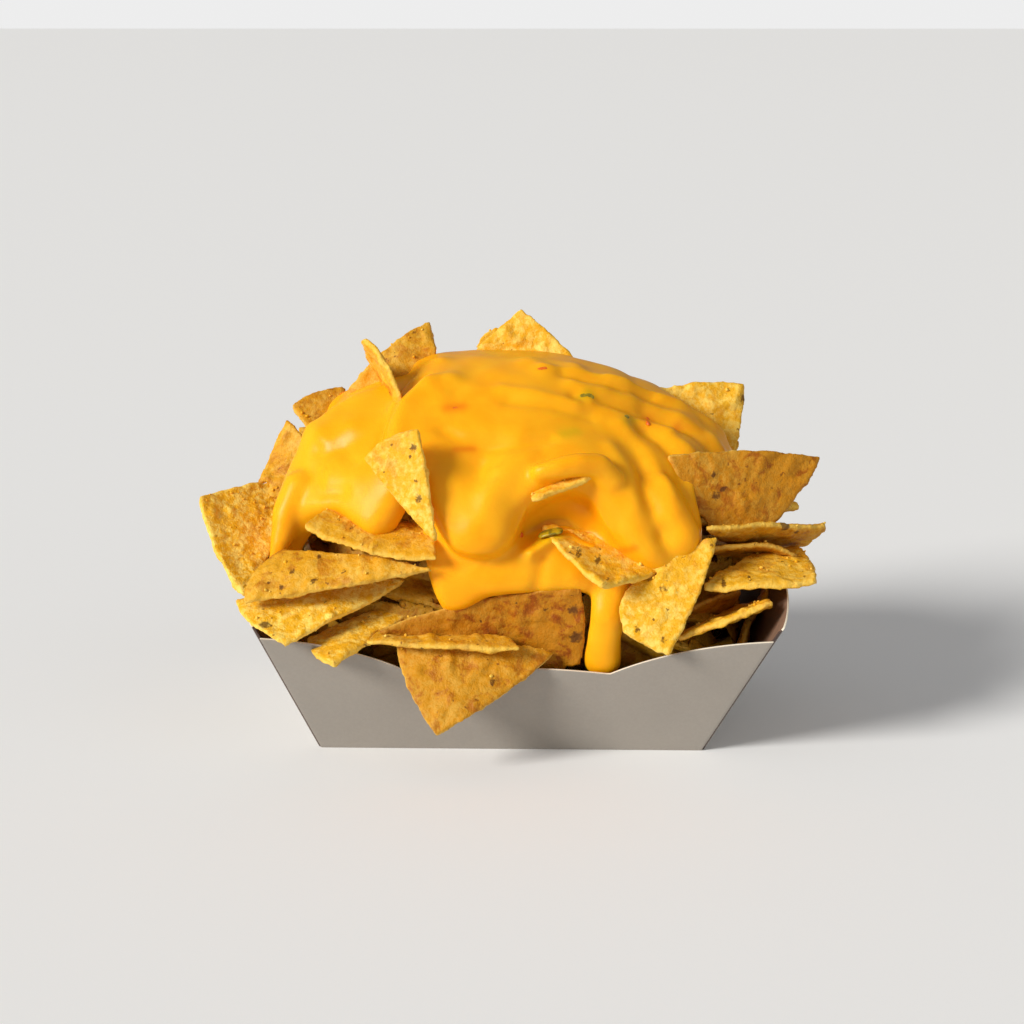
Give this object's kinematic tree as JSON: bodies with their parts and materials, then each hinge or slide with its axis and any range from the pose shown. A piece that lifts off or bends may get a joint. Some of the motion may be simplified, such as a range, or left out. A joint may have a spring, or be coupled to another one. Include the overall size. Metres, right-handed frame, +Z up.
{
  "type": "nachos in a card food tray",
  "caption": "Tortilla chips heaped in a folded grey card food tray with thick yellow cheese sauce poured over them, flat base to stand on.",
  "frame": {"origin": "middle of the tray's flat base, on the surface it stands on", "axes": "+Z up, X along the tray, -Y is the front where the sauce runs down to the rim"},
  "size_m": [0.201, 0.1406, 0.1343],
  "materials": {
    "tray_card": "smooth matte grey card, brown inside",
    "tortilla_chip": "fried corn, blistered and dry, with brown flecks",
    "packed_chips": "fried corn in shade",
    "cheese_sauce": "smooth thick sauce, soft gloss"
  },
  "bodies": {
    "root": {"cheese_sauce": "cheese_sauce", "chip_back_right": "tortilla_chip", "chip_front_hanging": "tortilla_chip", "chip_front_rim": "tortilla_chip", "chip_front_upright": "tortilla_chip", "chip_heap": "packed_chips", "chip_hollow_lower": "tortilla_chip", "chip_hollow_upper": "tortilla_chip", "chip_left_big": "tortilla_chip", "chip_left_curled": "tortilla_chip", "chip_left_low": "tortilla_chip", "chip_left_lowest": "tortilla_chip", "chip_left_middle": "tortilla_chip", "chip_left_outer": "tortilla_chip", "chip_left_rear": "tortilla_chip", "chip_left_thin": "tortilla_chip", "chip_left_tilted": "tortilla_chip", "chip_rear_01": "tortilla_chip", "chip_rear_02": "tortilla_chip", "chip_rear_03": "tortilla_chip", "chip_rear_04": "tortilla_chip", "chip_rear_05": "tortilla_chip", "chip_rear_06": "tortilla_chip", "chip_rear_07": "tortilla_chip", "chip_rear_08": "tortilla_chip", "chip_rear_09": "tortilla_chip", "chip_rear_10": "tortilla_chip", "chip_rear_11": "tortilla_chip", "chip_rear_12": "tortilla_chip", "chip_rear_13": "tortilla_chip", "chip_rear_14": "tortilla_chip", "chip_rear_15": "tortilla_chip", "chip_rear_16": "tortilla_chip", "chip_rear_17": "tortilla_chip", "chip_rear_18": "tortilla_chip", "chip_right_dark": "tortilla_chip", "chip_right_edge": "tortilla_chip", "chip_right_hanging": "tortilla_chip", "chip_right_inner": "tortilla_chip", "chip_right_light": "tortilla_chip", "chip_right_low": "tortilla_chip", "chip_right_upper": "tortilla_chip", "chip_right_wall": "tortilla_chip", "chip_spotted": "tortilla_chip", "chip_top": "tortilla_chip", "chip_top_edge": "tortilla_chip", "tray": "tray_card"}
  },
  "joints": []
}
